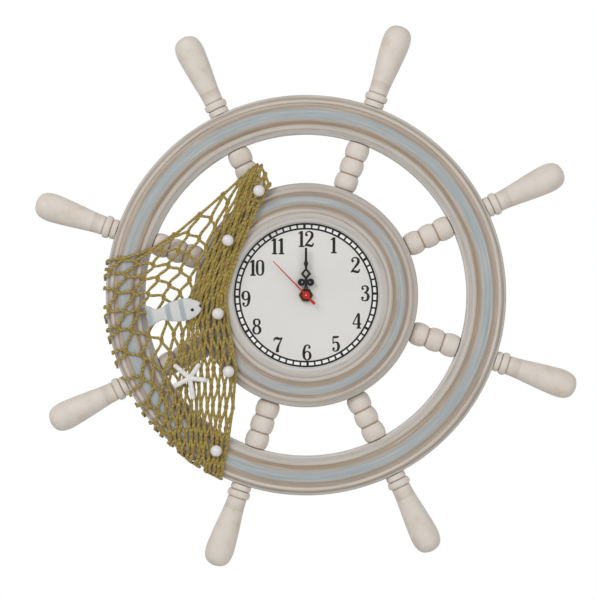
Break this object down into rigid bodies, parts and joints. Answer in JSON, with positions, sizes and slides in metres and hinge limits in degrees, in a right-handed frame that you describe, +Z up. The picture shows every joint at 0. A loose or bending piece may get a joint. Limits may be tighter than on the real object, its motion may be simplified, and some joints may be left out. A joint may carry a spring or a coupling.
{
  "type": "ship wheel wall clock",
  "caption": "Wooden ship's wheel that hangs on a wall as a clock, with a sunken white dial, ornate black hands, a quartz movement, and a fishing net hung with beads, a fish and a starfish.",
  "frame": {"origin": "on the axis of the hands, at the back face of the hub, where it meets the wall", "axes": "+X to the right as seen from the front, +Y into the wall, +Z up"},
  "size_m": [0.4818, 0.0476, 0.4816],
  "materials": {
    "rim_wood": "matt wash paint rubbed through to the wood, with blue-grey and tan rings",
    "hub_wood": "matt wash paint rubbed through to the wood, with blue-grey and tan rings",
    "handle_wood": "matt whitewash with brown specks",
    "spoke_wood": "matt whitewash with brown specks",
    "board_fibre": "bare fibreboard",
    "dial_paper": "smooth printed card, satin",
    "case_black": "moulded, fine texture",
    "white_plastic": "moulded acetal",
    "rubber_black": "matt",
    "brass": "dull, lightly tarnished",
    "steel": "zinc plated",
    "hand_black": "satin black enamel",
    "hand_red": "satin red enamel",
    "magnet_dark": "sintered ferrite",
    "coil_copper": "enamelled copper wire",
    "board_green": "printed circuit board",
    "cell_sleeve": "plain printed sleeve without lettering",
    "net_twine": "dry twisted twine, olive to rust brown",
    "bead_white": "white gloss paint",
    "fish_wood": "white wash paint with blue-grey stripes",
    "star_resin": "grainy white cast resin"
  },
  "bodies": {
    "wheel": {"rim": "rim_wood", "hub": "hub_wood", "handle_1": "handle_wood", "handle_2": "handle_wood", "handle_3": "handle_wood", "handle_4": "handle_wood", "handle_5": "handle_wood", "handle_6": "handle_wood", "handle_7": "handle_wood", "handle_8": "handle_wood", "spoke_1": "spoke_wood", "spoke_2": "spoke_wood", "spoke_3": "spoke_wood", "spoke_4": "spoke_wood", "spoke_5": "spoke_wood", "spoke_6": "spoke_wood", "spoke_7": "spoke_wood", "spoke_8": "spoke_wood", "dial_board": "board_fibre", "dial_print": "dial_paper", "dial_screws": "steel", "hanger_plate": "brass", "hanger_screws": "steel", "case_front": "case_black", "case_back": "case_black", "middle_plate": "white_plastic", "rubber_pad": "rubber_black", "dial_washer": "brass", "hex_nut": "brass", "stator": "steel", "coil_core": "steel", "coil": "coil_copper", "circuit_board": "board_green", "quartz_crystal": "steel", "contact_plus": "steel", "contact_minus": "steel", "battery": "cell_sleeve", "net": "net_twine", "bead_1": "bead_white", "bead_2": "bead_white", "bead_3": "bead_white", "bead_4": "bead_white", "bead_5": "bead_white", "fish": "fish_wood", "starfish": "star_resin"},
    "minute": {"minute_arbor": "brass", "minute_hand": "hand_black"},
    "hour": {"hour_wheel": "white_plastic", "hour_hand": "hand_black"},
    "setting": {"minute_wheel": "white_plastic", "set_knob": "case_black"},
    "seconds": {"seconds_wheel": "white_plastic", "second_hand": "hand_red"},
    "third": {"third_wheel": "white_plastic"},
    "centre": {"centre_wheel": "white_plastic"},
    "intermediate": {"intermediate_wheel": "white_plastic"},
    "rotor": {"rotor": "magnet_dark"}
  },
  "joints": [
    {"name": "minute_turn", "type": "hinge", "parent": "wheel", "child": "minute", "pos_m": [0, 0, 0], "axis": [0, 1, 0], "continuous": true},
    {"name": "hour_turn", "type": "hinge", "parent": "wheel", "child": "hour", "pos_m": [0, 0, 0], "axis": [0, 1, 0], "continuous": true},
    {"name": "setting_turn", "type": "hinge", "parent": "wheel", "child": "setting", "pos_m": [-0.0096, 0, 0], "axis": [0, 1, 0], "continuous": true},
    {"name": "second_turn", "type": "hinge", "parent": "wheel", "child": "seconds", "pos_m": [0, 0, 0], "axis": [0, 1, 0], "continuous": true},
    {"name": "third_turn", "type": "hinge", "parent": "wheel", "child": "third", "pos_m": [0.0046, 0, 0.00797], "axis": [0, 1, 0], "continuous": true},
    {"name": "centre_turn", "type": "hinge", "parent": "wheel", "child": "centre", "pos_m": [0, 0, 0], "axis": [0, 1, 0], "continuous": true},
    {"name": "intermediate_turn", "type": "hinge", "parent": "wheel", "child": "intermediate", "pos_m": [0.00624, 0, -0.0036], "axis": [0, 1, 0], "continuous": true},
    {"name": "rotor_turn", "type": "hinge", "parent": "wheel", "child": "rotor", "pos_m": [0.01254, 0, -0.0036], "axis": [0, 1, 0], "continuous": true}
  ],
  "couplings": [
    {"joint": "hour_turn", "follows": "minute_turn", "ratio": 0.083333},
    {"joint": "setting_turn", "follows": "minute_turn", "ratio": -0.33333},
    {"joint": "third_turn", "follows": "second_turn", "ratio": -0.13333},
    {"joint": "centre_turn", "follows": "second_turn", "ratio": 0.016667},
    {"joint": "intermediate_turn", "follows": "second_turn", "ratio": -5},
    {"joint": "rotor_turn", "follows": "second_turn", "ratio": 30}
  ]
}
